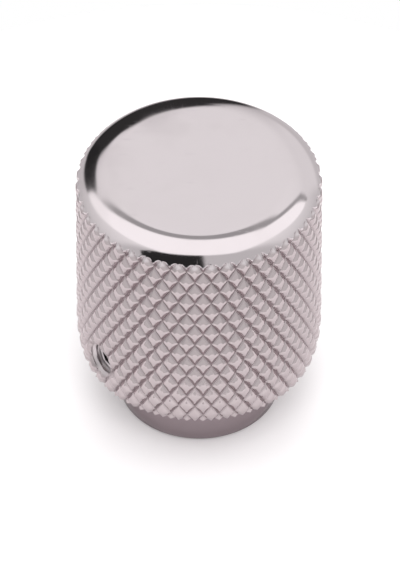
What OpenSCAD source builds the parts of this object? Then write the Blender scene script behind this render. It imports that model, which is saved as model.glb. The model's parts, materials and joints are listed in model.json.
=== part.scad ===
/* [Knob] */
// Diameter over the knurled barrel
knob_d = 20; // [18:0.5:26]
// Height from the base to the flat top
knob_h = 24.6; // [22:0.1:32]
// Diameter of the smooth neck that stands on the furniture
neck_d = 13.1; // [11:0.1:14]
// Height of the neck below the barrel
neck_h = 5.4; // [3:0.1:6]

/* [Edges] */
// How far the rounded shoulder reaches in from the side
shoulder_w = 2.8; // [1.6:0.1:3.2]
// How far the rounded shoulder drops below the flat top
shoulder_drop = 1.5; // [0.8:0.1:1.6]
// How much the barrel is drawn in at its lower edge
draw_in = 0.4; // [0.3:0.05:0.8]
// Height over which the barrel is drawn in
draw_h = 3.1; // [2.5:0.1:5]
// Radius of the corner between the neck and the barrel's underside
neck_fillet = 0.5; // [0.2:0.1:0.8]
// Width of the chamfers at the base and at the mouths of the holes
edge_break = 0.3; // [0.1:0.05:0.4]

/* [Knurl] */
// Diamonds around the barrel
knurl_count = 45; // [36:1:54]
// Angle between the grooves and the knob's axis
knurl_angle = 30.5; // [28:0.5:36]
// Depth of the grooves below the barrel's surface
knurl_depth = 0.32; // [0.2:0.01:0.4]
// Share of each diamond's width that is left flat on top
knurl_land = 0.4; // [0.25:0.05:0.5]
// Distance from the shoulder's lower edge down to the first row's centre
knurl_lead = 0.5; // [0.3:0.05:0.8]

/* [Fixing] */
// Diameter of the spindle that the knob slides on
spindle_d = 6; // [5:0.5:7]
// Clearance on the diameter between the spindle and its bore
spindle_clearance = 0.05; // [0.02:0.01:0.1]
// Depth of the bore from the base to the end of its straight wall
bore_depth = 15; // [12:0.5:17]
// Diameter of the grub screw's thread
screw_d = 3; // [2.5:0.5:4]
// Clearance on the diameter between the screw's thread and its hole
thread_clearance = 0.03; // [0.02:0.01:0.06]
// Length of the grub screw
screw_l = 5; // [4:0.5:5]
// Width across the flats of the screw's hexagon socket
socket_w = 1.5; // [1.2:0.1:1.5]
// Depth of the screw's socket
socket_depth = 1.6; // [1:0.1:2]
// Height of the screw's axis above the base
screw_z = 8.3; // [8:0.1:11]
// Direction of the screw around the knob, measured from the front
screw_turn = -56; // [-180:1:180]
// How far the screw's outer end lies under the barrel's surface
screw_sink = 1; // [0.8:0.1:1.4]

/* [Hidden] */
$fn = 96;
overrun = 1;

knob_r = knob_d / 2;
neck_r = neck_d / 2;
bore_r = (spindle_d + spindle_clearance) / 2;
tapped_r = screw_d / 2;
screw_r = (screw_d - thread_clearance) / 2;
drill_tip_angle = 59;
drill_tip_h = bore_r / tan(drill_tip_angle);
cup_h = screw_r / 3;

// An edge curve is one arc. It leaves the straight side as a tangent and
// has turned through 2 * atan(rise / run) at its other end.
function edge_arc_r(run, rise) = run / sin(2 * atan(rise / run));
shoulder_r = edge_arc_r(shoulder_w, shoulder_drop);
draw_r = edge_arc_r(draw_h, draw_in);
flat_r = knob_r - shoulder_w;
draw_top = neck_h + draw_h;

// The knurl is a lattice. Its columns and rows are half a diamond apart,
// and crests and groove crossings take turns along both.
columns = 2 * knurl_count;
column_step = 360 / columns;
diamond_w = PI * knob_d / knurl_count;
row_step = diamond_w / tan(knurl_angle) / 2;
first_row_z = knob_h - shoulder_drop - knurl_lead;
rows_below = ceil((first_row_z - neck_h) / row_step) + 1;
rows_above = ceil((knob_h - first_row_z) / row_step) + 1;
rows = rows_below + rows_above;
// Height that a sharp crest has above the land turned on it
crest_rise = knurl_depth * knurl_land / (1 - knurl_land);

// Radius of the barrel's surface at height z
function barrel_r(z) = z >= draw_top ? knob_r
    : knob_r - draw_r + sqrt(pow(draw_r, 2) - pow(draw_top - z, 2));

function row_z(j) = first_row_z + (j - rows_below) * row_step;
function is_crest(i, j) = (i + j + rows_below) % 2 == 1;
function lattice_r(i, j) =
    barrel_r(row_z(j)) + (is_crest(i, j) ? crest_rise : -knurl_depth);
function lattice_point(i, j) = [
    lattice_r(i, j) * cos(i * column_step),
    lattice_r(i, j) * sin(i * column_step),
    row_z(j)
];
function corner(i, j) = j * columns + i % columns;
// The two triangles of a lattice cell meet along the groove between them.
function cell(i, j) = let (
    a = corner(i, j),
    b = corner(i + 1, j),
    c = corner(i + 1, j + 1),
    d = corner(i, j + 1)
) is_crest(i, j) ? [[a, d, b], [b, d, c]] : [[a, c, b], [a, d, c]];

// Bar with sharp diamonds all over it, longer than the barrel at both ends
module knurled_bar() {
    points = [
        for (j = [0:rows]) for (i = [0:columns - 1]) lattice_point(i, j)
    ];
    side_faces = [
        for (j = [0:rows - 1]) for (i = [0:columns - 1]) each cell(i, j)
    ];
    bottom_face = [for (i = [0:columns - 1]) corner(i, 0)];
    top_face = [for (i = [columns - 1:-1:0]) corner(i, rows)];
    polyhedron(points, concat(side_faces, [bottom_face, top_face]));
}

// Half section of the barrel as turned, before the grooves are cut
module barrel_section() {
    intersection() {
        translate([0, neck_h]) square([knob_r, knob_h - neck_h]);
        union() {
            square([flat_r, knob_h]);
            translate([flat_r, knob_h - shoulder_r]) circle(shoulder_r);
            square([knob_r, knob_h - shoulder_r]);
        }
        union() {
            translate([knob_r - draw_r, draw_top]) circle(draw_r);
            translate([0, draw_top]) square([knob_r, knob_h]);
        }
    }
}

// Half section of the neck, with its fillet under the barrel
module neck_section() {
    polygon([
        [0, 0],
        [neck_r - edge_break, 0],
        [neck_r, edge_break],
        [neck_r, neck_h + overrun],
        [0, neck_h + overrun]
    ]);
    difference() {
        translate([neck_r, neck_h - neck_fillet]) square(neck_fillet);
        translate([neck_r + neck_fillet, neck_h - neck_fillet])
            circle(neck_fillet);
    }
}

// Blind bore for the spindle, with a chamfered mouth and a drilled end
module spindle_bore() {
    translate([0, 0, -overrun]) cylinder(r = bore_r, h = bore_depth + overrun);
    translate([0, 0, bore_depth]) cylinder(r1 = bore_r, r2 = 0, h = drill_tip_h);
    cylinder(r1 = bore_r + edge_break, r2 = bore_r, h = edge_break);
}

// Places a shape drawn along +Z so that it points out along the screw's axis
module along_screw_axis() {
    translate([0, 0, screw_z]) rotate([90, 0, screw_turn]) children();
}

// Tapped hole from the bore out through the knurl
module screw_hole() {
    along_screw_axis() {
        cylinder(r = tapped_r, h = knob_r + overrun);
        translate([0, 0, knob_r - knurl_depth])
            cylinder(r1 = tapped_r, r2 = tapped_r + knob_r, h = knob_r);
    }
}

module knob() {
    color("silver") difference() {
        union() {
            intersection() {
                rotate_extrude() barrel_section();
                knurled_bar();
            }
            rotate_extrude() neck_section();
        }
        spindle_bore();
        screw_hole();
    }
}

// Headless screw: chamfered socket end outwards, cup point towards the bore
module grub_screw() {
    outer = knob_r - screw_sink;
    inner = outer - screw_l;
    color("dimgray") along_screw_axis() difference() {
        rotate_extrude() polygon([
            [0, inner + cup_h],
            [screw_r - edge_break - cup_h, inner],
            [screw_r - edge_break, inner],
            [screw_r, inner + edge_break],
            [screw_r, outer - edge_break],
            [screw_r - edge_break, outer],
            [0, outer]
        ]);
        translate([0, 0, outer - socket_depth])
            cylinder(d = socket_w / cos(30), h = socket_depth + overrun, $fn = 6);
    }
}

knob();
grub_screw();
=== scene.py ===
"""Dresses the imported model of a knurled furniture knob.

The knob is one piece of brass, turned, knurled and plated. A headless grub screw sits in a tapped
hole in its side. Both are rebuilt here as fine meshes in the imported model's own frame, in metres,
with the knob standing on z = 0 and its axis along +Z.
"""

import json
import logging
import math
from dataclasses import dataclass, field
from enum import Enum

import bpy
import numpy as np
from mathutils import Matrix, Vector


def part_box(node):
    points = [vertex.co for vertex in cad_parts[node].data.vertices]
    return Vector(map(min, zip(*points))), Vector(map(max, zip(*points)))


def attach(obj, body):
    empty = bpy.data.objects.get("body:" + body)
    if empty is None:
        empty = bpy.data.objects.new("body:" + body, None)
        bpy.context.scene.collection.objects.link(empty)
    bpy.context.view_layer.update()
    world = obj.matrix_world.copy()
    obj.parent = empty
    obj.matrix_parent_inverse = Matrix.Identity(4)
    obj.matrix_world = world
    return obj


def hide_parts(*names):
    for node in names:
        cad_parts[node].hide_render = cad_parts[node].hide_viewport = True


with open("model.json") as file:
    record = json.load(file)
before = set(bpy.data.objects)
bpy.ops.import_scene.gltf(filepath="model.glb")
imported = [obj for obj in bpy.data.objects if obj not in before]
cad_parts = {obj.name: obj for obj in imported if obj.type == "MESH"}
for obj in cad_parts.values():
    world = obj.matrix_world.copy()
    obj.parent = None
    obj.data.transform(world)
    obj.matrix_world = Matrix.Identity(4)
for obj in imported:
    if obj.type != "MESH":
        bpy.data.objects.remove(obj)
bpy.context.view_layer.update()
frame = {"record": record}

MM = 0.001
TURN = 2.0 * math.pi
ROOT_BODY = "root"
CUT_ATTRIBUTE = "knurl_cut"

Colour = tuple[float, float, float, float]
Socket = bpy.types.NodeSocket

log = logging.getLogger("knob")


class RecordSlot(Enum):
    """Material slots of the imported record."""

    PLATED_BRASS = "plated_brass"
    SCREW_STEEL = "screw_steel"


class Split(Enum):
    """Which diagonal cuts a grid square into two triangles."""

    RISING = "from the lower left corner to the upper right one"
    FALLING = "from the lower right corner to the upper left one"


# ---- Sizes ----


@dataclass(frozen=True)
class EdgeArc:
    """One arc that rounds an edge.

    It leaves the straight side as a tangent, and ends `run` along that side and `rise` away from it.
    """

    run: float
    rise: float

    @property
    def sweep(self) -> float:
        """Angle that the arc turns through, in radians: 2 atan(rise / run)."""
        return 2.0 * math.atan(self.rise / self.run)

    @property
    def radius(self) -> float:
        """Radius of the arc: run / sin(sweep)."""
        return self.run / math.sin(self.sweep)


def mount_dims(name: str) -> dict:
    """Reads one mount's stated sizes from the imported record.

    Args:
        name: The mount's name.

    Returns:
        The mount's dims, in millimetres.
    """
    return next(m["dims"] for m in frame["record"]["mounts"] if m["name"] == name)


@dataclass(frozen=True)
class KnobSizes:
    """Outline of the turned body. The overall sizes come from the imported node."""

    neck_radius: float = 6.55 * MM
    neck_height: float = 5.4 * MM
    neck_fillet: float = 0.5 * MM
    edge_break: float = 0.3 * MM
    drill_tip_angle: float = math.radians(59.0)
    shoulder: EdgeArc = EdgeArc(run=2.8 * MM, rise=1.5 * MM)
    draw_in: EdgeArc = EdgeArc(run=3.1 * MM, rise=0.4 * MM)
    radius: float = field(default_factory=lambda: (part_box("knob")[1].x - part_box("knob")[0].x) / 2)
    height: float = field(default_factory=lambda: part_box("knob")[1].z)
    bore_radius: float = field(default_factory=lambda: mount_dims("spindle_bore")["r_mm"] * MM)
    bore_wall: float = field(default_factory=lambda: mount_dims("spindle_bore")["length_mm"] * MM)

    @property
    def flat_radius(self) -> float:
        """Radius of the flat top inside the rounded shoulder."""
        return self.radius - self.shoulder.run

    @property
    def shoulder_z(self) -> float:
        """Height at which the shoulder meets the barrel's straight side."""
        return self.height - self.shoulder.rise

    @property
    def bore_depth(self) -> float:
        """Height at which the bore's straight wall ends."""
        return self.bore_wall + self.edge_break

    @property
    def bore_tip_z(self) -> float:
        """Height of the drilled point at the end of the bore."""
        return self.bore_depth + self.bore_radius / math.tan(self.drill_tip_angle)

    def barrel_radius(self, z: np.ndarray) -> np.ndarray:
        """Radius of the barrel before it is knurled.

        Straight down to z0 = neck height + run, then R - rho + sqrt(rho^2 - (z0 - z)^2).

        Args:
            z: Heights.

        Returns:
            One radius for each height.
        """
        below = np.maximum(self.neck_height + self.draw_in.run - z, 0.0)
        rho = self.draw_in.radius
        return self.radius - rho + np.sqrt(rho**2 - below**2)


@dataclass(frozen=True)
class Knurl:
    """Diamond knurl: two families of V grooves that wind opposite ways round the barrel."""

    sizes: KnobSizes
    count: int = 45
    groove_angle: float = math.radians(30.5)
    depth: float = 0.32 * MM
    land: float = 0.4
    lead: float = 0.5 * MM
    steps: int = 6

    @property
    def columns(self) -> int:
        """Grid columns round the knob: `steps` in each half diamond."""
        return 2 * self.count * self.steps

    @property
    def row_pitch(self) -> float:
        """Height of half a diamond: (circumference / count) / (2 tan(groove angle))."""
        return TURN * self.sizes.radius / self.count / math.tan(self.groove_angle) / 2.0

    @property
    def first_row_z(self) -> float:
        """Height of the centres of the first full row under the shoulder."""
        return self.sizes.shoulder_z - self.lead

    def lattice(self, theta: np.ndarray, z: np.ndarray) -> tuple[np.ndarray, np.ndarray]:
        """Place on the knurl, counted in half diamonds round and up.

        Args:
            theta: Angles round the axis, in radians.
            z: Heights.

        Returns:
            Columns and rows, where a crest lies wherever their sum is an odd whole number.
        """
        return theta * (2 * self.count) / TURN, (z - self.first_row_z) / self.row_pitch

    def cut(self, theta: np.ndarray, z: np.ndarray) -> np.ndarray:
        """Depth of the grooves as a share of their full depth.

        With a = u + v and b = u - v, each family is 1 where a or b is even and 0 where it is odd,
        p is the larger of the two, and the cut is (p - land) / (1 - land), from 0 to 1.

        Args:
            theta: Angles round the axis, in radians.
            z: Heights.

        Returns:
            0 on the flat lands, rising to 1 at the bottom of the grooves.
        """
        u, v = self.lattice(theta, z)
        nearness = [np.abs(np.mod(s, 2.0) - 1.0) for s in (u + v, u - v)]
        return np.clip((np.maximum(*nearness) - self.land) / (1.0 - self.land), 0.0, 1.0)

    def split(self, theta: np.ndarray, z: np.ndarray) -> np.ndarray:
        """Which way the groove crosses each grid square.

        Args:
            theta: Angles of the squares' middles.
            z: Heights of the squares' middles.

        Returns:
            True where the groove falls from left to right seen from outside, as Split.FALLING.
        """
        u, v = self.lattice(theta, z)
        return (np.floor(u) + np.floor(v)).astype(int) % 2 == 1


@dataclass(frozen=True)
class ScrewSizes:
    """The M3 grub screw and its place in the knob's side."""

    radius: float = 1.485 * MM
    hole_radius: float = 1.5 * MM
    pitch: float = 0.5 * MM
    thread_depth: float = 0.27 * MM
    length: float = 5.0 * MM
    sink: float = 1.0 * MM
    socket_width: float = 1.5 * MM
    socket_depth: float = 1.6 * MM
    chamfer: float = 0.3 * MM
    z: float = 8.3 * MM
    turn_from_front: float = math.radians(-56.0)

    @property
    def direction(self) -> np.ndarray:
        """Unit vector that points out along the screw's axis."""
        return np.array([math.sin(self.turn_from_front), -math.cos(self.turn_from_front), 0.0])

    def thread(self, turn: np.ndarray, along: np.ndarray) -> np.ndarray:
        """Depth of a V thread as a share of its full depth.

        With t = along / pitch - turn / 2 pi, the depth is |2 frac(t) - 1|.

        Args:
            turn: Angles round the screw, in radians.
            along: Distances from the knob's axis.

        Returns:
            0 on the thread's crest and 1 at its root.
        """
        return np.abs(2.0 * np.mod(along / self.pitch - turn / TURN, 1.0) - 1.0)

    def place(self, points: np.ndarray) -> np.ndarray:
        """Turns points drawn with the screw along +Z into the knob's frame.

        Args:
            points: Points with z counted from the knob's axis.

        Returns:
            The same points in their place in the knob.
        """
        outward = self.direction
        up = np.array([0.0, 0.0, 1.0])
        side = np.cross(up, outward)
        return points @ np.stack([side, up, outward]) + np.array([0.0, 0.0, self.z])


# ---- Meshes ----


def grid_triangles(rows: int, columns: int, falling: np.ndarray | bool) -> np.ndarray:
    """Triangles of a grid that closes round its columns.

    Args:
        rows: Rows of vertices.
        columns: Columns of vertices.
        falling: For each square, or for all of them, True where the diagonal is Split.FALLING.

    Returns:
        Vertex numbers, three for each triangle, with the faces outwards where the rows run up.
    """
    row, column = np.meshgrid(np.arange(rows - 1), np.arange(columns), indexing="ij")
    a = row * columns + column
    b = row * columns + (column + 1) % columns
    c, d = b + columns, a + columns
    diagonals = {
        Split.RISING: np.stack([a, b, c, a, c, d], axis=-1),
        Split.FALLING: np.stack([a, b, d, b, c, d], axis=-1),
    }
    falls = np.broadcast_to(falling, row.shape)[..., None]
    chosen = np.where(falls, diagonals[Split.FALLING], diagonals[Split.RISING])
    return chosen.reshape(-1, 3)


def closed_surface(
    radius: np.ndarray, height: np.ndarray, first: float, last: float, falling: np.ndarray | bool = False
) -> tuple[np.ndarray, np.ndarray]:
    """A closed surface round +Z: x = r cos(theta), y = r sin(theta), with a point at each end.

    Args:
        radius: Radii, rows by columns.
        height: Heights, rows by columns, or rows by 1 where each row is level.
        first: Height of the point on the axis before the first row.
        last: Height of the point on the axis after the last row.
        falling: Diagonals of the grid's squares, as grid_triangles takes them.

    Returns:
        The points and the triangles.
    """
    rows, columns = radius.shape
    theta = np.arange(columns) * TURN / columns
    height = np.broadcast_to(height, radius.shape)
    grid = np.stack([radius * np.cos(theta), radius * np.sin(theta), height], axis=-1).reshape(-1, 3)
    points = np.vstack([grid, [[0.0, 0.0, first], [0.0, 0.0, last]]])
    start, end = rows * columns, rows * columns + 1
    ring = np.arange(columns)
    beside = (ring + 1) % columns
    final = (rows - 1) * columns
    first_fan = np.stack([np.full(columns, start), beside, ring], axis=-1)
    last_fan = np.stack([ring + final, beside + final, np.full(columns, end)], axis=-1)
    return points, np.vstack([first_fan, grid_triangles(rows, columns, falling), last_fan])


def make_object(name: str, points: np.ndarray, triangles: np.ndarray) -> bpy.types.Object:
    """Puts a triangle mesh into the scene, smooth shaded.

    Args:
        name: The object's name.
        points: Vertex places.
        triangles: Vertex numbers, three for each triangle.

    Returns:
        The new object, at the origin.
    """
    mesh = bpy.data.meshes.new(name)
    mesh.vertices.add(len(points))
    mesh.vertices.foreach_set("co", points.astype(np.float32).ravel())
    mesh.loops.add(triangles.size)
    mesh.loops.foreach_set("vertex_index", triangles.astype(np.int32).ravel())
    mesh.polygons.add(len(triangles))
    mesh.polygons.foreach_set("loop_start", np.arange(0, triangles.size, 3, dtype=np.int32))
    mesh.update(calc_edges=True)
    mesh.validate()
    mesh.shade_smooth()
    made = bpy.data.objects.new(name, mesh)
    bpy.context.scene.collection.objects.link(made)
    return made


@dataclass
class KnobBody:
    """The turned, knurled and plated body, with its bore and its tapped side hole."""

    sizes: KnobSizes
    knurl: Knurl
    screw: ScrewSizes
    crisp_angle: float = math.radians(50.0)
    bore_rows: int = 8
    base_rows: int = 3
    neck_rows: int = 6
    fillet_rows: int = 7
    scallop_rows: int = 10
    shoulder_rows: int = 12
    top_rows: int = 5
    hole_columns: int = 64
    hole_rows_in_pitch: int = 7
    hole_overrun: float = 1.0 * MM
    scallop_reach: float = 1.2
    end_gaps: tuple[float, float] = (0.5, 0.25)

    def under_outline(self) -> np.ndarray:
        """Outline from the end of the bore, round the base and up the neck to the underside.

        The bore's wall, its chamfer, the base ring, the neck's chamfer and its wall are straight.
        The fillet is r = r0 + f - f cos(a), z = z0 - f + f sin(a) with a from 0 to 90 degrees.

        Returns:
            Radii and heights, one pair for each row.
        """
        s = self.sizes
        bore = [(s.bore_radius, z) for z in np.linspace(s.bore_depth, s.edge_break, self.bore_rows)]
        mouth, rim = s.bore_radius + s.edge_break, s.neck_radius - s.edge_break
        base = [(r, 0.0) for r in np.linspace(mouth, rim, self.base_rows)]
        neck_top = s.neck_height - s.neck_fillet
        neck = [(s.neck_radius, z) for z in np.linspace(s.edge_break, neck_top, self.neck_rows)]
        angle = np.linspace(0.0, math.pi / 2.0, self.fillet_rows)[1:]
        fillet_r = s.neck_radius + s.neck_fillet * (1.0 - np.cos(angle))
        fillet = np.stack([fillet_r, neck_top + s.neck_fillet * np.sin(angle)], axis=-1)
        underside = [((s.neck_radius + s.radius) / 2.0, s.neck_height)]
        return np.vstack([bore, base, neck, fillet, underside])

    def side_heights(self) -> np.ndarray:
        """Heights of the barrel's rows: its ends, and the grid lines that the diamonds lie on.

        A grid line within `end_gaps` steps of the lower or the upper end is left out.

        Returns:
            The heights, from the underside up.
        """
        s, k = self.sizes, self.knurl
        step = k.row_pitch / k.steps
        lowest = math.ceil((s.neck_height - k.first_row_z) / step + self.end_gaps[0])
        highest = math.floor((s.shoulder_z - k.first_row_z) / step - self.end_gaps[1])
        inside = k.first_row_z + np.arange(lowest, highest + 1) * step
        return np.concatenate([[s.neck_height], inside, [s.shoulder_z]])

    def shoulder_outline(self) -> np.ndarray:
        """Outline of the shoulder: r = r0 + rho sin(b), z = H - rho + rho cos(b).

        The angle b runs from the arc's sweep down to 0. The part that meets the grooves, as deep as
        `scallop_reach` times the knurl, takes finer steps.

        Returns:
            Radii and heights, one pair for each row.
        """
        s = self.sizes
        rho = s.shoulder.radius
        above_grooves = math.asin((s.shoulder.run - self.scallop_reach * self.knurl.depth) / rho)
        fine = np.linspace(s.shoulder.sweep, above_grooves, self.scallop_rows)[1:]
        coarse = np.linspace(above_grooves, 0.0, self.shoulder_rows)[1:]
        angle = np.concatenate([fine, coarse])
        radius = s.flat_radius + rho * np.sin(angle)
        return np.stack([radius, s.height - rho + rho * np.cos(angle)], axis=-1)

    def surface(self) -> tuple[np.ndarray, np.ndarray, np.ndarray]:
        """The whole skin as one grid of rows and columns, from the bore's end to the flat top.

        On the side, r = barrel radius - depth * cut. Over the shoulder, r is the smaller of that
        and the shoulder's own radius, so the grooves run out into it.

        Returns:
            The points, the triangles and each point's knurl cut.
        """
        s, k = self.sizes, self.knurl
        theta = np.arange(k.columns) * TURN / k.columns
        under = self.under_outline()
        side_z = self.side_heights()
        shoulder = self.shoulder_outline()
        top = np.array([(r, s.height) for r in np.linspace(s.flat_radius, 0.0, self.top_rows + 1)[1:-1]])

        smooth = np.concatenate([under[:, 0], s.barrel_radius(side_z), shoulder[:, 0], top[:, 0]])
        height = np.concatenate([under[:, 1], side_z, shoulder[:, 1], top[:, 1]])
        knurled = slice(len(under), len(under) + len(side_z) + len(shoulder))
        radius = np.repeat(smooth[:, None], k.columns, axis=1)
        cut = np.zeros_like(radius)
        around, up = np.meshgrid(theta, height[knurled], indexing="xy")
        cut[knurled] = k.cut(around, up)
        grooved = s.barrel_radius(up) - k.depth * cut[knurled]
        cut[knurled] *= grooved < radius[knurled]
        radius[knurled] = np.minimum(radius[knurled], grooved)

        middle = (height[:-1] + height[1:]) / 2.0
        across, up = np.meshgrid(theta + theta[1] / 2.0, middle, indexing="xy")
        falling = k.split(across, up)
        points, triangles = closed_surface(radius, height[:, None], s.bore_tip_z, s.height, falling)
        return points, triangles, np.concatenate([cut.ravel(), [0.0, 0.0]])

    def hole_cutter(self) -> bpy.types.Object:
        """A threaded plug, from the knob's axis to beyond its side, that cuts the tapped hole.

        Its radius is the larger of the tapped wall, r = hole radius - thread depth * thread, and
        the countersink, r = hole radius + (along - s0).

        Returns:
            The plug as an object.
        """
        w, s = self.screw, self.sizes
        end = s.radius + self.hole_overrun
        rows = int(end / w.pitch * self.hole_rows_in_pitch)
        turn = np.arange(self.hole_columns) * TURN / self.hole_columns
        turn, along = np.meshgrid(turn, np.linspace(0.0, end, rows), indexing="xy")
        tapped = w.hole_radius - w.thread_depth * w.thread(turn, along)
        sink_start = s.radius - self.knurl.depth
        radius = np.maximum(tapped, w.hole_radius + along - sink_start)
        points, triangles = closed_surface(radius, along, 0.0, end)
        return make_object("hole_cutter", w.place(points), triangles)

    def cut_hole(self, body: bpy.types.Object) -> None:
        """Cuts the tapped side hole out of the body's mesh.

        Args:
            body: The knob's object, whose mesh is changed.
        """
        cutter = self.hole_cutter()
        boolean = body.modifiers.new("tapped_hole", "BOOLEAN")
        boolean.operation = "DIFFERENCE"
        boolean.solver = "EXACT"
        boolean.object = cutter
        graph = bpy.context.evaluated_depsgraph_get()
        cut_mesh = bpy.data.meshes.new_from_object(
            body.evaluated_get(graph), preserve_all_data_layers=True, depsgraph=graph
        )
        body.modifiers.clear()
        body.data = cut_mesh
        bpy.data.objects.remove(cutter)

    def build(self) -> bpy.types.Object:
        """Builds the body's mesh.

        Returns:
            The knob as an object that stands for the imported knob.
        """
        points, triangles, cut = self.surface()
        body = make_object("knob_body", points, triangles)
        attribute = body.data.attributes.new(CUT_ATTRIBUTE, "FLOAT", "POINT")
        attribute.data.foreach_set("value", cut.astype(np.float32))
        self.cut_hole(body)
        body.data.set_sharp_from_angle(angle=self.crisp_angle)
        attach(body, ROOT_BODY)
        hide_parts("knob")
        return body


@dataclass
class GrubScrew:
    """Headless screw with a hexagon socket at its outer end and a cup point at its inner end."""

    screw: ScrewSizes
    knob_radius: float
    columns: int = 96
    rows_in_pitch: int = 10
    socket_rows: int = 5
    cup_share: float = 1.0 / 3.0
    socket_mouth: float = 0.08 * MM
    socket_lip: float = 0.05 * MM
    floor_drop: float = 0.1 * MM
    floor_share: float = 0.5
    crisp_angle: float = math.radians(40.0)

    def socket_radius(self, turn: np.ndarray) -> np.ndarray:
        """Distance from the axis to the wall of the hexagon socket.

        r = (width / 2) / cos(a), where a is the angle from the middle of the nearest flat.

        Args:
            turn: Angles round the screw, in radians.

        Returns:
            One radius for each angle.
        """
        from_flat = np.mod(turn, TURN / 6.0) - TURN / 12.0
        return self.screw.socket_width / 2.0 / np.cos(from_flat)

    def build(self) -> bpy.types.Object:
        """Builds the screw's mesh.

        The threaded side is r = radius - thread depth * thread, limited by a chamfer at each end.

        Returns:
            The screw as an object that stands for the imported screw.
        """
        w = self.screw
        outer = self.knob_radius - w.sink
        inner = outer - w.length
        turn = np.arange(self.columns) * TURN / self.columns
        side = np.linspace(inner, outer, int(w.length / w.pitch * self.rows_in_pitch) + 1)
        around, along = np.meshgrid(turn, side, indexing="xy")
        threaded = w.radius - w.thread_depth * w.thread(around, along)
        chamfer = w.radius - w.chamfer + np.minimum(along - inner, outer - along)
        shank = np.minimum(threaded, chamfer)
        cup_height = w.radius * self.cup_share
        cup_radius = w.radius - w.chamfer - cup_height
        cup = np.full((1, self.columns), cup_radius)
        socket = self.socket_radius(turn)[None, :]
        floor = outer - w.socket_depth
        wall = np.repeat(socket, self.socket_rows, axis=0)
        radius = np.vstack([cup, shank, socket + self.socket_mouth, wall, socket * self.floor_share])
        wall_heights = np.linspace(outer - self.socket_lip, floor, self.socket_rows)
        height = np.concatenate([[inner], side, [outer], wall_heights, [floor - self.floor_drop]])
        tip = floor - 2.0 * self.floor_drop
        points, triangles = closed_surface(radius, height[:, None], inner + cup_height, tip)
        made = make_object("grub_screw_body", w.place(points), triangles)
        made.data.set_sharp_from_angle(angle=self.crisp_angle)
        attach(made, ROOT_BODY)
        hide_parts("grub_screw")
        return made


# ---- Finishes ----


@dataclass
class NodeBench:
    """Adds nodes to one node tree and wires them up."""

    tree: bpy.types.NodeTree

    def add(self, kind: str, **settings: object) -> bpy.types.Node:
        """Adds a node.

        Args:
            kind: The node's type name.
            **settings: Attributes to set on it.

        Returns:
            The new node.
        """
        node = self.tree.nodes.new(kind)
        for name, value in settings.items():
            setattr(node, name, value)
        return node

    def wire(self, source: object, socket: Socket) -> None:
        """Feeds a socket from another socket, or sets its value.

        Args:
            source: An output socket, or a plain value.
            socket: The input socket.
        """
        if isinstance(source, Socket):
            self.tree.links.new(source, socket)
        else:
            socket.default_value = source

    def math(self, operation: str, *values: object) -> Socket:
        """Adds a Math node.

        Args:
            operation: The node's operation.
            *values: Its inputs, sockets or numbers.

        Returns:
            The result's socket.
        """
        node = self.add("ShaderNodeMath", operation=operation)
        for value, socket in zip(values, node.inputs):
            self.wire(value, socket)
        return node.outputs[0]

    def step(self, value: object, low: float, high: float) -> Socket:
        """Adds a smooth step from 0 at `low` to 1 at `high`.

        Args:
            value: The socket to map.
            low: Value that gives 0.
            high: Value that gives 1.

        Returns:
            The result's socket.
        """
        node = self.add("ShaderNodeMapRange", interpolation_type="SMOOTHSTEP")
        for name, given in (("Value", value), ("From Min", low), ("From Max", high)):
            self.wire(given, node.inputs[name])
        return node.outputs["Result"]

    def span(self, value: object, low: float, high: float) -> Socket:
        """Maps 0 to 1 onto a range: low + value * (high - low).

        Args:
            value: The socket to map.
            low: Result at 0.
            high: Result at 1.

        Returns:
            The result's socket.
        """
        return self.math("MULTIPLY_ADD", value, high - low, low)

    def blend(self, share: object, first: object, second: object) -> Socket:
        """Mixes two colours.

        Args:
            share: How much of the second colour.
            first: Colour at share 0.
            second: Colour at share 1.

        Returns:
            The mixed colour's socket.
        """
        node = self.add("ShaderNodeMix", data_type="RGBA")
        colours = [socket for socket in node.inputs if socket.type == "RGBA"]
        self.wire(share, node.inputs[0])
        self.wire(first, colours[0])
        self.wire(second, colours[1])
        return next(socket for socket in node.outputs if socket.type == "RGBA")

    def vector(self, operation: str, *values: object) -> Socket:
        """Adds a Vector Math node.

        Args:
            operation: The node's operation.
            *values: Its vectors, sockets or plain ones.

        Returns:
            The result's socket, a number for LENGTH and DOT_PRODUCT and a vector for the others.
        """
        node = self.add("ShaderNodeVectorMath", operation=operation)
        for value, socket in zip(values, node.inputs):
            self.wire(value, socket)
        return node.outputs["Value" if operation in ("LENGTH", "DOT_PRODUCT") else "Vector"]

    def part(self, vector: object, axis: str) -> Socket:
        """Takes one part of a vector.

        Args:
            vector: The vector's socket.
            axis: X, Y or Z.

        Returns:
            That part's socket.
        """
        node = self.add("ShaderNodeSeparateXYZ")
        self.wire(vector, node.inputs[0])
        return node.outputs[axis]

    def noise(self, vector: object, scale: float, detail: float) -> Socket:
        """Adds a noise pattern.

        Args:
            vector: Where it is read.
            scale: Its scale.
            detail: Its octaves.

        Returns:
            The pattern's value, from 0 to 1.
        """
        node = self.add("ShaderNodeTexNoise")
        self.wire(vector, node.inputs["Vector"])
        self.wire(scale, node.inputs["Scale"])
        self.wire(detail, node.inputs["Detail"])
        return node.outputs["Fac"]

    def effect(self, tree: bpy.types.NodeTree, place: object, **values: float) -> bpy.types.Node:
        """Places a shared effect in a material.

        Args:
            tree: The effect's node group.
            place: The coordinates that it reads.
            **values: Its other inputs.

        Returns:
            The group's node.
        """
        node = self.add("ShaderNodeGroup", node_tree=tree)
        self.wire(place, node.inputs["Place"])
        for label, value in values.items():
            self.wire(value, node.inputs[label])
        return node


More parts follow.
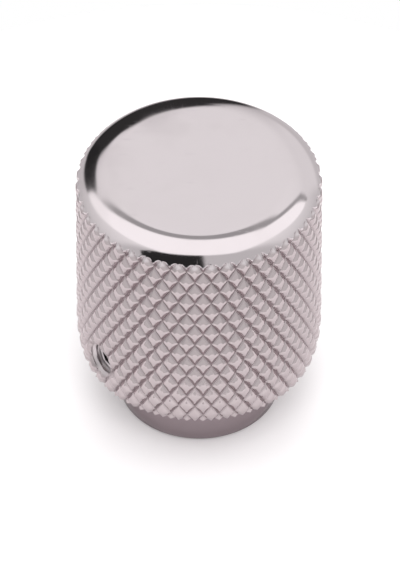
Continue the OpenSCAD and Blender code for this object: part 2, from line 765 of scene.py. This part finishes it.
class Effect:
    """Shader node groups that the finishes share. Each is built once."""

    PATCH_SCALE = 160.0
    SMUDGE_RANGE = (0.42, 0.72)
    HAIR_STRETCH = (38.0, 2.2, 9.0)
    CROSSING_STRETCH = (2.6, 41.0, 11.0)
    SCRATCH_RANGE = (0.66, 0.78)

    @staticmethod
    def group(name: str, inputs: dict[str, str], outputs: list[str]) -> tuple[NodeBench, dict, dict]:
        """Starts a node group.

        Args:
            name: The group's name.
            inputs: Socket names and types of its inputs.
            outputs: Names of its outputs, all values.

        Returns:
            Its bench, the sockets to read the inputs from and the sockets to feed the outputs.
        """
        tree = bpy.data.node_groups.new(name, "ShaderNodeTree")
        for label, kind in inputs.items():
            tree.interface.new_socket(label, in_out="INPUT", socket_type=kind)
        for label in outputs:
            tree.interface.new_socket(label, in_out="OUTPUT", socket_type="NodeSocketFloat")
        bench = NodeBench(tree)
        entry = bench.add("NodeGroupInput")
        result = bench.add("NodeGroupOutput")
        return bench, entry.outputs, result.inputs

    @staticmethod
    def turning_marks() -> bpy.types.NodeTree:
        """Fine rings left by the lathe, numbered by distance from the axis less height.

        Returns:
            The node group.
        """
        name = "turning_marks"
        if name in bpy.data.node_groups:
            return bpy.data.node_groups[name]
        bench, given, result = Effect.group(
            name, {"Place": "NodeSocketVector", "Rings": "NodeSocketFloat"}, ["Height", "Streak"]
        )
        away = bench.vector("LENGTH", bench.vector("MULTIPLY", given["Place"], (1.0, 1.0, 0.0)))
        along = bench.math("SUBTRACT", away, bench.part(given["Place"], "Z"))
        rings = bench.add("ShaderNodeTexNoise", noise_dimensions="1D")
        bench.wire(bench.math("MULTIPLY", along, given["Rings"]), rings.inputs["W"])
        bench.wire(1.0, rings.inputs["Scale"])
        bench.wire(4.0, rings.inputs["Detail"])
        patches = bench.noise(given["Place"], Effect.PATCH_SCALE, detail=2.0)
        bench.wire(rings.outputs["Fac"], result["Height"])
        bench.wire(bench.math("MULTIPLY", rings.outputs["Fac"], patches), result["Streak"])
        return bench.tree

    @staticmethod
    def handling() -> bpy.types.NodeTree:
        """Soft smudges and short hairline scratches left by hands and cloths.

        Returns:
            The node group.
        """
        name = "handling"
        if name in bpy.data.node_groups:
            return bpy.data.node_groups[name]
        bench, given, result = Effect.group(
            name, {"Place": "NodeSocketVector", "Size": "NodeSocketFloat"}, ["Smudge", "Scratch"]
        )
        scaled = bench.add("ShaderNodeVectorMath", operation="SCALE")
        bench.wire(given["Place"], scaled.inputs[0])
        bench.wire(given["Size"], scaled.inputs["Scale"])
        at = scaled.outputs["Vector"]
        smudge = bench.step(bench.noise(at, 1.0, detail=4.0), *Effect.SMUDGE_RANGE)
        hairs = bench.noise(bench.vector("MULTIPLY", at, Effect.HAIR_STRETCH), 1.0, detail=2.0)
        crossing = bench.noise(bench.vector("MULTIPLY", at, Effect.CROSSING_STRETCH), 1.0, detail=2.0)
        deepest = bench.math("MAXIMUM", hairs, crossing)
        bench.wire(smudge, result["Smudge"])
        bench.wire(bench.step(deepest, *Effect.SCRATCH_RANGE), result["Scratch"])
        return bench.tree


@dataclass(frozen=True)
class Finish:
    """What every finish has: a name and the start of its node tree."""

    name: str

    def start(self) -> tuple[bpy.types.Material, NodeBench, bpy.types.Node, Socket]:
        """Makes an empty material.

        Returns:
            The material, its bench, its Principled node and the Object coordinates' socket.
        """
        material = bpy.data.materials.new(self.name)
        material.use_nodes = True
        bench = NodeBench(material.node_tree)
        shader = next(n for n in material.node_tree.nodes if n.type == "BSDF_PRINCIPLED")
        place = bench.add("ShaderNodeTexCoord").outputs["Object"]
        return material, bench, shader, place


def screw_axes(bench: NodeBench, place: object, screw: ScrewSizes) -> tuple[Socket, Socket]:
    """Turns Object coordinates into the screw's own.

    Args:
        bench: The material's bench.
        place: Object coordinates.
        screw: Where the screw is.

    Returns:
        The distance from the screw's axis, and the place along it, which falls on the way out.
    """
    turned = bench.add("ShaderNodeMapping", vector_type="TEXTURE")
    bench.wire(place, turned.inputs["Vector"])
    turned.inputs["Location"].default_value = (0.0, 0.0, screw.z)
    turned.inputs["Rotation"].default_value = (0.0, 0.0, screw.turn_from_front)
    spot = turned.outputs["Vector"]
    across = bench.vector("LENGTH", bench.vector("MULTIPLY", spot, (1.0, 0.0, 1.0)))
    return across, bench.part(spot, "Y")


@dataclass(frozen=True)
class PlatedBrass(Finish):
    """Polished nickel plate on brass: mirror top, painted shade on the side, grooves and neck, bare brass
    in the bore.
    """

    sizes: KnobSizes
    screw: ScrewSizes
    nickel: Colour = (0.64, 0.585, 0.602, 1.0)
    tarnish: Colour = (0.50, 0.45, 0.45, 1.0)
    # side: the knurled barrel's plate, darkened as painted shade.
    side: Colour = (0.466, 0.409, 0.418, 1.0)
    # groove: painted shade at the bottom of the knurl's grooves.
    groove: Colour = (0.352, 0.306, 0.315, 1.0)
    drilled: Colour = (0.58, 0.53, 0.54, 1.0)
    # under: painted shade on the neck beneath the barrel's overhang.
    under: Colour = (0.30, 0.25, 0.265, 1.0)
    brass: Colour = (0.62, 0.45, 0.24, 1.0)
    edge: Colour = (0.88, 0.85, 0.86, 1.0)
    polished: float = 0.05
    dull: float = 0.16
    groove_roughness: float = 0.28
    bore_roughness: float = 0.35
    countersink_reach: float = 0.36 * MM
    wall_reach: float = 0.03 * MM
    ring_height: float = 0.0006 * MM
    scratch_height: float = 0.0012 * MM
    rings: float = 26000.0
    smudge_size: float = 170.0
    tarnish_share: float = 0.12
    # Where the painted groove shade starts in the knurl's cut, and its strongest share.
    groove_shade_start: float = 0.45
    groove_shade_share: float = 0.75
    fade: float = 0.1 * MM
    neck_fade: float = 0.3 * MM
    hole_start: float = 1.0 * MM

    def make(self) -> bpy.types.Material:
        """Builds the material.

        Returns:
            The finished material.
        """
        material, bench, shader, place = self.start()
        cut = bench.add("ShaderNodeAttribute", attribute_name=CUT_ATTRIBUTE).outputs["Fac"]
        bore = self.bore_mask(bench, place)
        marks = bench.effect(Effect.turning_marks(), place, Rings=self.rings)
        handled = bench.effect(Effect.handling(), place, Size=self.smudge_size)
        smudge, scratch = handled.outputs["Smudge"], handled.outputs["Scratch"]

        # Painted shade in the deeper part of the grooves, from the cut attribute; the same share also
        # makes the grooves rougher.
        groove_shade_and_roughness = bench.math("MULTIPLY", bench.step(cut, self.groove_shade_start, 1.0), self.groove_shade_share)
        hole = self.hole_mask(bench, place, self.countersink_reach)
        wall = self.hole_mask(bench, place, self.wall_reach)
        z = bench.part(place, "Z")
        s = self.sizes
        # Painted shade: the knurled side below the shoulder takes the darker side colour.
        side_shade_share = bench.step(z, s.shoulder_z + self.fade, s.shoulder_z - 2.0 * self.fade)
        tint = bench.blend(bench.math("MULTIPLY", smudge, self.tarnish_share), self.nickel, self.tarnish)
        # Painted shade on the neck, under the barrel.
        neck_shade_share = bench.step(z, s.neck_height, s.neck_height - self.neck_fade)
        side_shaded_colour = bench.blend(side_shade_share, tint, self.side)
        plated = bench.blend(neck_shade_share, bench.blend(groove_shade_and_roughness, side_shaded_colour, self.groove), self.under)
        plated = bench.blend(wall, plated, self.drilled)
        bench.wire(bench.blend(bore, plated, self.brass), shader.inputs["Base Color"])

        touched = bench.math("MAXIMUM", smudge, marks.outputs["Streak"])
        rubbed = bench.span(touched, self.polished, self.dull)
        grooved = bench.math("MULTIPLY_ADD", groove_shade_and_roughness, self.groove_roughness, rubbed)
        machined = bench.math("MAXIMUM", bore, hole)
        bored = bench.math("MULTIPLY_ADD", machined, self.bore_roughness, grooved)
        bench.wire(bored, shader.inputs["Roughness"])
        shader.inputs["Metallic"].default_value = 1.0
        shader.inputs["Specular Tint"].default_value = self.edge

        height = bench.math("MULTIPLY", marks.outputs["Height"], self.ring_height)
        height = bench.math("MULTIPLY_ADD", scratch, -self.scratch_height, height)
        bump = bench.add("ShaderNodeBump")
        bench.wire(height, bump.inputs["Height"])
        bench.wire(1.0, bump.inputs["Distance"])
        bench.wire(1.0, bump.inputs["Strength"])
        bench.wire(bump.outputs["Normal"], shader.inputs["Normal"])
        return material

    def hole_mask(self, bench: NodeBench, place: object, reach: float) -> Socket:
        """Marks the walls of the tapped side hole, and its countersink where the reach takes it in.

        Args:
            bench: The material's bench.
            place: Object coordinates.
            reach: How far outside the hole's own radius the mark goes, in metres.

        Returns:
            1 in the side hole and 0 elsewhere.
        """
        across, along = screw_axes(bench, place, self.screw)
        outside = bench.step(along, 0.0, -self.hole_start)
        limit = self.screw.hole_radius + reach
        near = bench.step(across, limit, limit - self.fade)
        return bench.math("MULTIPLY", near, outside)

    def bore_mask(self, bench: NodeBench, place: object) -> Socket:
        """Marks the walls of the bore and its drilled point, fading over the chamfer.

        Args:
            bench: The material's bench.
            place: Object coordinates.

        Returns:
            1 in the bore and 0 elsewhere.
        """
        s = self.sizes
        z = bench.part(place, "Z")
        away = bench.vector("LENGTH", bench.vector("MULTIPLY", place, (1.0, 1.0, 0.0)))
        inner, tip = s.bore_radius + self.fade / 2.0, s.bore_tip_z + self.fade
        within = bench.step(away, inner + s.edge_break, inner)
        above = bench.step(z, self.fade, self.fade + s.edge_break)
        below = bench.step(z, tip + 4.0 * self.fade, tip)
        return bench.math("MULTIPLY", bench.math("MULTIPLY", within, above), below)


@dataclass(frozen=True)
class BlackenedSteel(Finish):
    """Blackened steel, worn to bare metal on the thread's crests and on the face at `end`."""

    screw: ScrewSizes
    end: float
    black: Colour = (0.13, 0.122, 0.128, 1.0)
    bare: Colour = (0.66, 0.61, 0.62, 1.0)
    smooth: float = 0.30
    rough: float = 0.48
    grain_height: float = 0.002 * MM
    grain_scale: float = 9000.0
    smudge_size: float = 420.0
    crest_width: float = 0.1 * MM
    end_fade: tuple[float, float] = (0.15 * MM, 0.03 * MM)
    wear: tuple[float, float] = (0.6, 1.0)
    scratch_share: float = 0.4

    def make(self) -> bpy.types.Material:
        """Builds the material.

        Returns:
            The finished material.
        """
        material, bench, shader, place = self.start()
        across, along = screw_axes(bench, place, self.screw)
        crest = bench.step(across, self.screw.radius - self.crest_width, self.screw.radius)
        handled = bench.effect(Effect.handling(), place, Size=self.smudge_size)
        smudge, scratch = handled.outputs["Smudge"], handled.outputs["Scratch"]
        end = bench.step(along, self.end_fade[0] - self.end, self.end_fade[1] - self.end)
        rubbed = bench.math("MAXIMUM", crest, end)
        worn = bench.math("MULTIPLY", rubbed, bench.span(smudge, *self.wear))
        worn = bench.math("MAXIMUM", worn, bench.math("MULTIPLY", scratch, self.scratch_share))
        bench.wire(bench.blend(worn, self.black, self.bare), shader.inputs["Base Color"])
        bench.wire(bench.span(smudge, self.smooth, self.rough), shader.inputs["Roughness"])
        shader.inputs["Metallic"].default_value = 1.0
        grain = bench.noise(place, self.grain_scale, detail=3.0)
        bump = bench.add("ShaderNodeBump")
        bench.wire(bench.math("MULTIPLY", grain, self.grain_height), bump.inputs["Height"])
        bench.wire(1.0, bump.inputs["Distance"])
        bench.wire(bump.outputs["Normal"], shader.inputs["Normal"])
        return material


@dataclass(frozen=True)
class PaleTable(Finish):
    """Matt white table under the knob."""

    white: Colour = (0.90, 0.885, 0.89, 1.0)
    speck: Colour = (0.88, 0.865, 0.87, 1.0)
    cloud_scale: float = 12.0
    roughness: float = 0.9
    shine: float = 0.1

    def make(self) -> bpy.types.Material:
        """Builds the material.

        Returns:
            The finished material.
        """
        material, bench, shader, place = self.start()
        clouds = bench.noise(place, self.cloud_scale, detail=2.0)
        bench.wire(bench.blend(clouds, self.white, self.speck), shader.inputs["Base Color"])
        shader.inputs["Roughness"].default_value = self.roughness
        shader.inputs["Specular IOR Level"].default_value = self.shine
        return material


# ---- Studio ----


class Plane(Enum):
    """Planes one room unit from the knob, on which the corners of the cards are given."""

    OVERHEAD = "z = 1, corners as x and y"
    BACK = "y = 1, corners as x and z"
    FRONT = "y = -1, corners as x and z"


@dataclass(frozen=True)
class Card:
    """A flat panel in the studio, as the polished metal mirrors it. Its edges fade over `soft` degrees."""

    name: str
    plane: Plane
    corners: tuple[tuple[float, float], ...]
    level: float
    soft: float = 1.0

    def spots(self) -> list[Vector]:
        """The corners as directions from the knob.

        Returns:
            One vector for each corner.
        """
        if self.plane is Plane.OVERHEAD:
            return [Vector((x, y, 1.0)) for x, y in self.corners]
        depth = 1.0 if self.plane is Plane.BACK else -1.0
        return [Vector((x, depth, z)) for x, z in self.corners]

    def mask(self, bench: NodeBench, direction: object) -> Socket:
        """Where the panel lies, seen from the knob.

        Each edge and the knob span a plane. With its unit normal n and the direction d, the share
        is the product of a smooth step of n . d over all the edges.

        Args:
            bench: The world's bench.
            direction: The unit direction from the knob.

        Returns:
            1 on the panel and 0 beside it.
        """
        inside: object = 1.0
        fade = math.radians(self.soft)
        spots = self.spots()
        middle = sum(spots, Vector())
        for spot, following in zip(spots, spots[1:] + spots[:1]):
            normal = spot.cross(following).normalized()
            normal *= math.copysign(1.0, normal.dot(middle))
            facing = bench.vector("DOT_PRODUCT", direction, tuple(normal))
            inside = bench.math("MULTIPLY", inside, bench.step(facing, -fade, fade))
        return inside


# Where two cards overlap, the later one is seen.
STUDIO_CARDS = (
    Card("front_wall", Plane.FRONT, level=0.74, soft=7.0, corners=(
        (-3.5, -0.5), (3.5, -0.5), (3.5, 2.6), (-3.5, 2.6),
    )),
    Card("front_window", Plane.FRONT, level=1.0, soft=7.0, corners=(
        (-3.5, -0.9), (3.5, -0.9), (3.5, 0.5), (-3.5, 0.5),
    )),
    Card("softbox", Plane.OVERHEAD, level=1.42, corners=(
        (-0.42, -0.47), (0.46, -0.47), (0.8, -0.24), (0.6, 0.46),
        (-0.5, 0.64), (-1.16, 0.6), (-1.16, 0.15), (-0.84, -0.16),
    )),
    Card("softbox_wing", Plane.OVERHEAD, level=1.42, corners=(
        (0.45, -0.47), (0.8, -0.24), (1.08, -0.02), (1.36, 0.24),
        (1.58, 0.52), (1.72, 0.8), (1.66, 0.97), (0.45, 0.5),
    )),
    Card("left_reflector", Plane.OVERHEAD, level=1.35, soft=2.0, corners=(
        (-1.16, 0.15), (-1.66, 0.65), (-2.1, 1.5), (-1.4, 1.25), (-0.7, 0.56),
    )),
    Card("left_rim", Plane.OVERHEAD, level=0.52, soft=2.0, corners=(
        (-0.84, 0.74), (-0.62, 0.53), (-0.42, 0.51), (-0.42, 0.68), (-0.62, 0.72),
    )),
    Card("middle_rim", Plane.OVERHEAD, level=0.46, soft=2.0, corners=(
        (-0.5, 0.5), (0.34, 0.33), (0.42, 0.33), (0.42, 0.52), (0.05, 0.72), (-0.5, 0.7),
    )),
    Card("right_rim", Plane.OVERHEAD, level=0.5, soft=2.0, corners=(
        (0.36, 0.32), (0.54, 0.42), (0.87, 0.69), (0.98, 0.78), (0.95, 0.92), (0.36, 0.51),
    )),
    Card("tip_rim", Plane.OVERHEAD, level=0.48, soft=1.5, corners=(
        (0.84, 0.71), (1.68, 0.98), (1.86, 1.15), (1.35, 1.06), (0.84, 0.86),
    )),
    Card("right_wall", Plane.BACK, level=1.02, soft=6.0, corners=(
        (0.25, 0.05), (0.25, 0.75), (1.3, 0.95), (1.3, 0.05),
    )),
    Card("dark_wall", Plane.BACK, level=0.04, soft=2.5, corners=(
        (0.13, -0.42), (0.17, -0.15), (0.12, 0.12), (0.0, 0.68),
        (-0.15, 0.7), (-0.62, 0.56), (-0.62, -0.1), (-0.45, -0.22),
    )),
    Card("dark_wall_tip", Plane.BACK, level=0.04, soft=0.8, corners=(
        (-0.025, 0.885), (-0.3, 0.53), (-0.2, 0.4), (0.045, 0.45),
    )),
    Card("dark_corner", Plane.BACK, level=0.03, soft=1.5, corners=(
        (-0.48, 0.58), (-0.76, 0.93), (-1.03, 1.06), (-1.38, 0.6), (-1.05, 0.27), (-0.5, -0.18),
    )),
    Card("camera_stand", Plane.FRONT, level=0.03, corners=(
        (0.087, 0.58), (-1.08, 0.58), (-1.6, 1.7), (-1.3, 2.15), (0.087, 2.15),
    )),
)


@dataclass
class Studio:
    """Pale round table, soft light and the camera."""

    sizes: KnobSizes
    table_radius: float = 45.0 * MM
    table_thickness: float = 0.3 * MM
    table_undercut: float = 8.0 * MM
    table_columns: int = 96
    table_crisp_angle: float = math.radians(30.0)
    image_width: int = 400
    image_height: int = 570
    pixels_in_radius: float = 122.7
    axis_pixel: float = 199.0
    middle_pixel: float = 278.1
    elevation: float = 45.0
    lens_mm: float = 800.0
    sensor_mm: float = 36.0
    clip_range: tuple[float, float] = (0.05, 20.0)
    lamp_size: float = 0.45
    lamp_distance: float = 0.6
    lamp_tint: tuple[float, float, float] = (1.0, 0.985, 0.99)
    lamps: tuple[tuple[str, float, float], ...] = (("front_lamp", 50.0, 2.0), ("back_lamp", 118.0, 0.72))
    backdrop: Colour = (1.0, 1.0, 1.0, 1.0)
    diffuse_share: float = 1.10
    room_light: tuple[tuple[float, float], ...] = (
        (-8.0, 0.80), (3.0, 0.76), (20.0, 0.92), (35.0, 1.04), (45.0, 1.10), (90.0, 1.20),
    )

    def table(self) -> bpy.types.Object:
        """Lays a round table under the knob, thin and undercut so that its rim doesn't show.

        Returns:
            The table.
        """
        foot = self.table_radius - self.table_undercut
        radii = np.array([[foot], [self.table_radius], [self.table_radius / 2.0]])
        heights = np.array([[-self.table_thickness], [0.0], [0.0]])
        radii = np.repeat(radii, self.table_columns, axis=1)
        points, triangles = closed_surface(radii, heights, -self.table_thickness, 0.0)
        table = make_object("table", points, triangles)
        table.data.set_sharp_from_angle(angle=self.table_crisp_angle)
        table.data.materials.append(PaleTable("pale_table").make())
        return table

    def room(self) -> None:
        """Sets up the studio's walls and cards, which give the mirrored light."""
        world = bpy.data.worlds.new("studio_room")
        bpy.context.scene.world = world
        world.use_nodes = True
        bench = NodeBench(world.node_tree)
        world.node_tree.nodes.clear()
        direction = bench.add("ShaderNodeTexCoord").outputs["Generated"]
        height = bench.span(bench.part(direction, "Z"), 0.5, 1.0)

        ramp = bench.add("ShaderNodeValToRGB")
        bench.wire(height, ramp.inputs["Fac"])
        stops = ramp.color_ramp.elements
        while len(stops) < len(self.room_light):
            stops.new(0.5)
        for stop, (elevation, level) in zip(stops, self.room_light):
            stop.position = 0.5 + math.sin(math.radians(elevation)) / 2.0
            stop.color = (level, level, level, 1.0)
        shown = ramp.outputs["Color"]
        for card in STUDIO_CARDS:
            shown = bench.blend(card.mask(bench, direction), shown, (card.level,) * 3 + (1.0,))

        path = bench.add("ShaderNodeLightPath")
        light = bench.add("ShaderNodeBackground")
        bench.wire(shown, light.inputs["Color"])
        strength = bench.span(path.outputs["Is Diffuse Ray"], 1.0, self.diffuse_share)
        bench.wire(strength, light.inputs["Strength"])
        seen = bench.add("ShaderNodeBackground")
        bench.wire(self.backdrop, seen.inputs["Color"])
        either = bench.add("ShaderNodeMixShader")
        bench.wire(path.outputs["Is Camera Ray"], either.inputs[0])
        bench.wire(light.outputs[0], either.inputs[1])
        bench.wire(seen.outputs[0], either.inputs[2])
        output = bench.add("ShaderNodeOutputWorld")
        bench.wire(either.outputs[0], output.inputs["Surface"])

    def lamp(self, name: str, elevation: float, power: float) -> bpy.types.Object:
        """Hangs a wide soft lamp that lights the table. The metal doesn't mirror it.

        Args:
            name: The lamp's name.
            elevation: Its height above the table, in degrees, on the camera's side.
            power: Its power in watts.

        Returns:
            The lamp.
        """
        data = bpy.data.lights.new(name, "AREA")
        data.shape = "DISK"
        data.size = self.lamp_size
        data.energy = power
        data.color = self.lamp_tint
        lamp = bpy.data.objects.new(name, data)
        bpy.context.scene.collection.objects.link(lamp)
        raised = math.radians(elevation)
        away = Vector((0.0, -math.cos(raised), math.sin(raised)))
        lamp.location = away * self.lamp_distance
        lamp.rotation_euler = away.to_track_quat("Z", "Y").to_euler()
        lamp.visible_glossy = False
        return lamp

    def camera(self) -> bpy.types.Object:
        """Sets up the camera: a long lens that looks down on the knob from the front.

        The view is sized so that the knob's radius takes `pixels_in_radius`, and aimed so that the
        middle of the knob's axis falls on the named pixels.

        Returns:
            The camera.
        """
        pixel = self.sizes.radius / self.pixels_in_radius
        distance = self.lens_mm / self.sensor_mm * self.image_height * pixel
        tilt = math.radians(self.elevation)
        ahead = Vector((0.0, math.cos(tilt), -math.sin(tilt)))
        right = Vector((1.0, 0.0, 0.0))
        up = right.cross(ahead)
        middle = Vector((0.0, 0.0, self.sizes.height / 2.0))
        aim = middle + right * ((self.image_width / 2.0 - self.axis_pixel) * pixel)
        aim -= up * ((self.image_height / 2.0 - self.middle_pixel) * pixel)
        data = bpy.data.cameras.new("camera")
        data.lens = self.lens_mm
        data.sensor_width = self.sensor_mm
        data.clip_start, data.clip_end = self.clip_range
        camera = bpy.data.objects.new("camera", data)
        bpy.context.scene.collection.objects.link(camera)
        camera.location = aim - ahead * distance
        camera.rotation_euler = ahead.to_track_quat("-Z", "Y").to_euler()
        bpy.context.scene.camera = camera
        return camera

    def build(self) -> None:
        """Sets up the table, the light and the camera."""
        self.camera()
        self.table()
        self.room()
        for name, elevation, power in self.lamps:
            self.lamp(name, elevation, power)
        bpy.context.scene.view_settings.view_transform = "Standard"


def main() -> None:
    """Builds the knob, its screw and the studio in order."""
    logging.basicConfig(level=logging.INFO, format="%(name)s: %(message)s")
    sizes = KnobSizes()
    screw = ScrewSizes()
    body = KnobBody(sizes, Knurl(sizes), screw).build()
    body.data.materials.clear()
    body.data.materials.append(PlatedBrass("plated_brass_finish", sizes, screw).make())
    log.info("%s: %d faces", body.name, len(body.data.polygons))
    grub = GrubScrew(screw, sizes.radius).build()
    steel = BlackenedSteel("blackened_steel_finish", screw, end=sizes.radius - screw.sink)
    grub.data.materials.append(steel.make())
    log.info("%s: %d faces", grub.name, len(grub.data.polygons))
    Studio(sizes).build()


if __name__ == "__main__":
    main()
